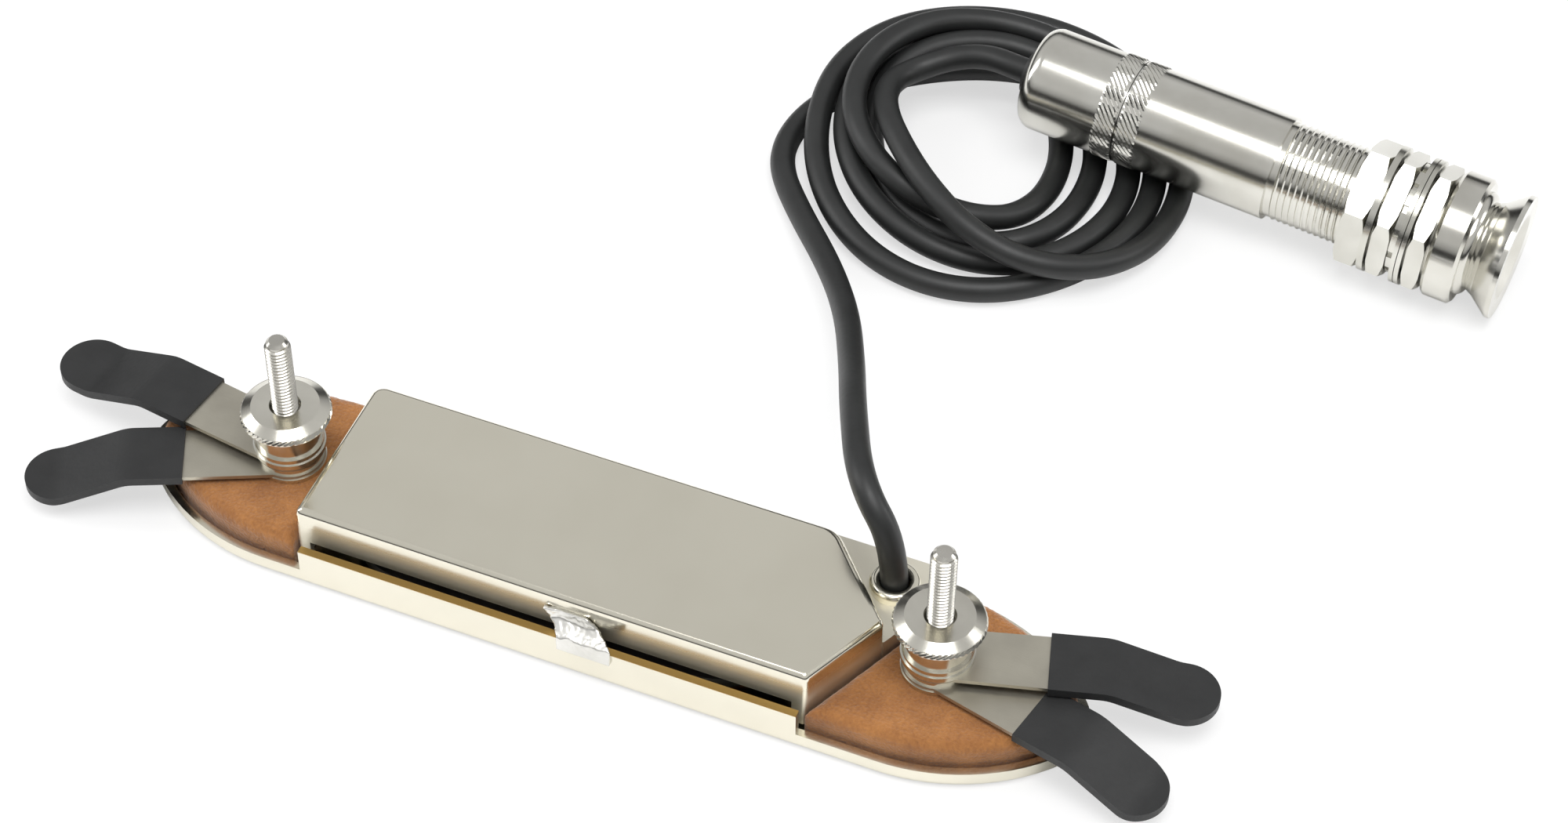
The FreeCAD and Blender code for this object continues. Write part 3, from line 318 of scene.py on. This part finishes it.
JACK_AXIS = Vector((0.99543, -0.08534, -0.04275)).normalized()
JACK_REAR = Vector((18.86, 87.0, 10.5))
LEAD = [
    (30.9, 7.9, 4.0), (30.9, 7.9, 12.8), (25.3, 10.8, 18.3), (19.7, 23.3, 15.2),
    (15.9, 33.1, 10.6), (11.1, 44.1, 6.4), (5.3, 53.3, 3.4), (-2.1, 61.9, 1.8),
    (-6.9, 67.9, 1.6), (-8.3, 73.1, 1.6),
]
TURNS = [
    (-7.4, 79.4, 1.6), (-3.7, 85.2, 1.7), (2.6, 89.7, 2.8), (10.8, 92.3, 4.4),
    (19.2, 93.1, 5.2), (25.3, 90.7, 3.0), (28.4, 85.0, 1.6), (29.2, 78.0, 1.6),
    (27.7, 71.5, 1.6), (23.8, 66.7, 1.6), (17.9, 64.6, 1.6), (11.5, 65.7, 1.7),
    (5.9, 69.4, 2.3), (2.1, 74.7, 3.3), (0.4, 80.8, 4.7), (1.3, 87.0, 6.0),
    (5.4, 92.3, 6.6), (12.3, 95.9, 6.0), (20.7, 96.2, 4.2), (27.9, 92.7, 2.5),
    (32.4, 86.2, 1.7), (33.8, 78.5, 1.6), (32.0, 71.0, 1.6), (27.6, 65.1, 1.6),
    (20.8, 61.8, 1.9), (13.3, 61.9, 2.6), (6.4, 65.0, 3.4), (1.1, 70.2, 4.1),
    (-2.1, 76.7, 4.8), (-2.8, 83.7, 5.3), (-0.4, 90.3, 5.2), (5.0, 95.5, 4.3),
    (11.7, 97.5, 2.8), (17.6, 95.3, 1.6), (21.8, 89.7, 1.6), (24.5, 82.9, 1.7),
    (24.8, 76.2, 1.7), (22.8, 70.7, 2.3), (18.7, 67.4, 3.6), (13.4, 66.4, 4.9),
    (7.8, 67.6, 6.0), (2.8, 70.9, 7.0), (-0.8, 75.8, 7.8), (-2.1, 82.2, 8.4),
    (-0.4, 89.1, 8.5), (4.2, 95.2, 7.8), (11.5, 98.9, 6.5), (20.3, 99.5, 4.9),
    (28.8, 96.1, 3.0), (34.7, 89.2, 1.8), (37.1, 80.4, 1.6), (35.8, 71.5, 1.6),
    (31.2, 63.8, 1.6), (24.7, 58.5, 1.6), (17.1, 56.5, 1.6), (9.5, 57.8, 1.8),
    (2.8, 62.0, 2.3), (-2.4, 68.3, 3.1), (-5.5, 76.2, 4.3), (-6.0, 85.1, 5.2),
    (-2.4, 93.4, 5.3), (4.8, 99.6, 4.8), (14.2, 102.8, 4.0), (24.0, 102.2, 3.0),
    (32.4, 97.8, 2.1), (38.1, 90.1, 1.6), (40.4, 80.7, 1.6), (39.1, 71.3, 2.4),
    (34.4, 64.1, 4.0), (27.2, 60.8, 5.5), (19.5, 61.7, 7.1), (12.5, 65.8, 8.5),
    (6.9, 71.2, 9.1), (3.1, 76.5, 8.8), (2.1, 81.3, 8.0),
]
TAIL = [
    (3.9, 85.2, 7.4), (8.0, 88.0, 8.6), (12.3, 88.6, 9.8),
    tuple(JACK_REAR - 2.2 * JACK_AXIS), tuple(JACK_REAR + 1.7 * JACK_AXIS),
]
CORD_RADIUS = 1.55


def lay_cord():
    points = LEAD + TURNS + TAIL
    data = bpy.data.curves.new("cord", "CURVE")
    data.dimensions = "3D"
    line = data.splines.new("NURBS")
    line.points.add(len(points) - 1)
    for point, place in zip(line.points, points):
        point.co = (*(Vector(place) * MM), 1)
    line.order_u = 3
    line.use_endpoint_u = True
    line.resolution_u = 10
    data.bevel_depth = CORD_RADIUS * MM
    data.bevel_resolution = 6
    data.use_fill_caps = True
    cord = bpy.data.objects.new("cord", data)
    scene.collection.objects.link(cord)
    cord.data.materials.append(finishes["cord"])
    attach(cord, "pickup")
    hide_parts("cord_lead", "cord_coil", "cord_tail")


lay_cord()


# Threads, knurls and suede


def finished(name, shape, finish, body, placed=None):
    """Turns a bmesh in millimetres into a piece that rides on a body."""
    bmesh.ops.scale(shape, vec=(MM, MM, MM), verts=shape.verts)
    if placed is not None:
        bmesh.ops.transform(shape, matrix=placed, verts=shape.verts)
    bmesh.ops.recalc_face_normals(shape, faces=shape.faces)
    data = bpy.data.meshes.new(name)
    shape.to_mesh(data)
    shape.free()
    piece = bpy.data.objects.new(name, data)
    scene.collection.objects.link(piece)
    dress(piece, finishes[finish])
    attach(piece, body)
    return piece


# How far a knurl band's edges sink below its base, in millimetres
KNURL_DEPTH = 0.12


def thread_ridge(root, crest, pitch, start, turns, steps=36):
    """A screw ridge about Z, closed at both of its ends."""
    shape = bmesh.new()
    flank = pitch * 0.42
    top = pitch * 0.1
    corners = [(root, 0), (crest, flank), (crest, flank + top), (root, 2 * flank + top)]
    verts = [shape.verts.new((across, 0, height + start)) for across, height in corners]
    face = shape.faces.new(verts)
    bmesh.ops.spin(
        shape,
        geom=[face, *face.edges, *face.verts],
        cent=(0, 0, 0),
        axis=(0, 0, 1),
        dvec=(0, 0, pitch / steps),
        angle=2 * math.pi * turns,
        steps=int(steps * turns),
        use_duplicate=False,
    )
    return shape


def knurl_band(base, proud, low, high, columns, rows):
    """A ring with a diamond pattern of small raised points round it."""
    shape = bmesh.new()
    inside = base - KNURL_DEPTH
    side = [(inside, low)]
    side += [(base, low + (high - low) * row / (rows - 1)) for row in range(rows)]
    side += [(inside, high)]
    verts = [shape.verts.new((across, 0, height)) for across, height in side]
    edges = [shape.edges.new(pair) for pair in zip(verts, verts[1:] + verts[:1])]
    bmesh.ops.spin(
        shape,
        geom=verts + edges,
        cent=(0, 0, 0),
        axis=(0, 0, 1),
        angle=2 * math.pi,
        steps=columns,
        use_merge=True,
    )
    bmesh.ops.remove_doubles(shape, verts=shape.verts, dist=0.001)
    for vert in shape.verts:
        away = math.hypot(vert.co.x, vert.co.y)
        row = round((vert.co.z - low) / (high - low) * (rows - 1))
        column = round(math.atan2(vert.co.y, vert.co.x) / (2 * math.pi) * columns)
        outer = away > base - KNURL_DEPTH / 2
        if outer and 0 < row < rows - 1 and (row + column) % 2 == 0:
            vert.co.x *= (base + proud) / away
            vert.co.y *= (base + proud) / away
    return shape


STUD_PLACES = {"left": -38.8, "right": 38.8}
for side, along in STUD_PLACES.items():
    placed = Matrix.Translation(Vector((along, 0, 0)) * MM)
    ridge = thread_ridge(root=1.12, crest=1.47, pitch=0.5, start=2.2, turns=43)
    finished("stud_thread_" + side, ridge, "stud_steel", "pickup", placed)
    band = knurl_band(base=4.98, proud=0.16, low=12.75, high=13.6, columns=96, rows=5)
    finished("nut_knurl_" + side, band, "thumb_nickel", "thumb_nut_" + side, placed)


def on_jack():
    """Carries a shape made along Z onto the jack's axis."""
    turn = JACK_AXIS.to_track_quat("Z", "Y").to_matrix().to_4x4()
    return Matrix.Translation(JACK_REAR * MM) @ turn


ridge = thread_ridge(root=5.75, crest=6.06, pitch=0.794, start=33.0, turns=30, steps=64)
finished("jack_thread", ridge, "jack_nickel", "pickup", on_jack())
for name, low, high in [("cap_knurl", 10.2, 12.9), ("barrel_knurl", 13.15, 15.9)]:
    band = knurl_band(base=6.43, proud=0.15, low=low, high=high, columns=110, rows=9)
    finished(name, band, "jack_nickel", "pickup", on_jack())


# Noise features per metre
FINE = 2200
COARSE = 500
# Metres
WELD = 0.00001
FOOT = 0.0004


def uneven_copy(node_name, name, voxel, finish, coarse, fine):
    """Stands for a CAD node with a closed, fine mesh, slightly uneven above its foot."""
    data = frame["nodes"][node_name].data.copy()
    shape = bmesh.new()
    shape.from_mesh(data)
    bmesh.ops.remove_doubles(shape, verts=shape.verts, dist=WELD)
    shape.to_mesh(data)
    shape.free()
    piece = bpy.data.objects.new(name, data)
    scene.collection.objects.link(piece)
    remesh = piece.modifiers.new("close", "REMESH")
    remesh.mode = "VOXEL"
    remesh.voxel_size = voxel
    graph = bpy.context.evaluated_depsgraph_get()
    made = bpy.data.meshes.new_from_object(piece.evaluated_get(graph))
    piece.modifiers.clear()
    piece.data = made
    low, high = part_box(node_name)
    for vert in made.vertices:
        lump = noise.noise(vert.co * FINE) * fine + noise.noise(vert.co * COARSE) * coarse
        if vert.co.z > low.z + FOOT:
            vert.co.z = min(vert.co.z + lump, high.z)
            vert.co.y = max(min(vert.co.y + lump, high.y), low.y)
    for polygon in made.polygons:
        polygon.use_smooth = True
    dress(piece, finishes[finish])
    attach(piece, "pickup")
    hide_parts(node_name)
    return piece


for side in STUD_PLACES:
    pad = uneven_copy(
        "suede_pad_" + side, "napped_pad_" + side,
        voxel=0.0003, finish="suede", coarse=0.00006, fine=0.00005,
    )
uneven_copy(
    "ground_tab", "solder_bridge",
    voxel=0.00012, finish="solder", coarse=0.00022, fine=0.0001,
)


# Studio


FLOOR_GLOW = 0.62
WORLD_STRENGTH = 0.72
# The world's brightness by the height that a ray points to
SKY = [(0.0, 0.5), (0.05, 0.02), (0.2, 0.02), (0.27, 0.5), (0.5, 0.95), (1.0, 0.85)]


def pale_floor():
    """A floor that the camera sees almost white and that still takes the part's shadow."""
    shape = bmesh.new()
    bmesh.ops.create_grid(shape, x_segments=1, y_segments=1, size=6)
    data = bpy.data.meshes.new("floor")
    shape.to_mesh(data)
    shape.free()
    floor = bpy.data.objects.new("floor", data)
    scene.collection.objects.link(floor)
    finish = Finish("floor")
    dress(floor, finish.set(Base_Color=(0.93, 0.93, 0.93, 1), Roughness=0.9))
    shown = finish.add("ShaderNodeLightPath", {}, {}, "Is Camera Ray") * FLOOR_GLOW
    surface = Value(finish, finish.shader.outputs[0])
    glow = finish.add("ShaderNodeEmission", {}, {})
    mixed = finish.add("ShaderNodeMixShader", {}, {0: shown, 1: surface, 2: glow})
    finish.feed(finish.tree.nodes["Material Output"].inputs[0], mixed)


def soft_lamp(name, place, size, power, aim=(0.005, 0.04, 0.005)):
    data = bpy.data.lights.new(name, "AREA")
    data.shape = "RECTANGLE"
    data.size, data.size_y = size
    data.energy = power
    lamp = bpy.data.objects.new(name, data)
    lamp.location = place
    lamp.rotation_euler = (Vector(aim) - Vector(place)).to_track_quat("-Z", "Y").to_euler()
    scene.collection.objects.link(lamp)


def soft_world():
    """Lights the part with soft bands of sky. The camera itself sees plain white."""
    world = bpy.data.worlds.new("studio")
    world.use_nodes = True
    nodes = Nodes(world.node_tree)
    direction = nodes.add("ShaderNodeTexCoord", {}, {}, "Generated")
    height = nodes.add("ShaderNodeSeparateXYZ", {}, {0: direction}, "Z")
    sky = nodes.add("ShaderNodeValToRGB", {}, {0: height})
    ramp = sky.socket.node.color_ramp
    for element, (_, tone) in zip(ramp.elements, (SKY[0], SKY[-1])):
        element.color = (tone, tone, tone, 1)
    for place, tone in SKY[1:-1]:
        ramp.elements.new(place).color = (tone, tone, tone, 1)
    light = world.node_tree.nodes["Background"]
    nodes.feed(light.inputs["Color"], sky)
    nodes.feed(light.inputs["Strength"], WORLD_STRENGTH)
    lit = Value(nodes, light.outputs[0])
    seen = nodes.add("ShaderNodeBackground", {}, {"Color": (1, 1, 1, 1)})
    to_camera = nodes.add("ShaderNodeLightPath", {}, {}, "Is Camera Ray")
    mixed = nodes.add("ShaderNodeMixShader", {}, {0: to_camera, 1: lit, 2: seen})
    nodes.feed(world.node_tree.nodes["World Output"].inputs[0], mixed)
    scene.world = world


pale_floor()
soft_world()
soft_lamp("overhead", (0.15, -0.2, 0.95), (0.6, 0.5), 6)
soft_lamp("left_window", (-0.8, -0.1, 0.5), (0.3, 0.8), 3)
soft_lamp("right_window", (0.75, 0.35, 0.35), (0.25, 0.6), 2)
scene.view_settings.view_transform = "Standard"
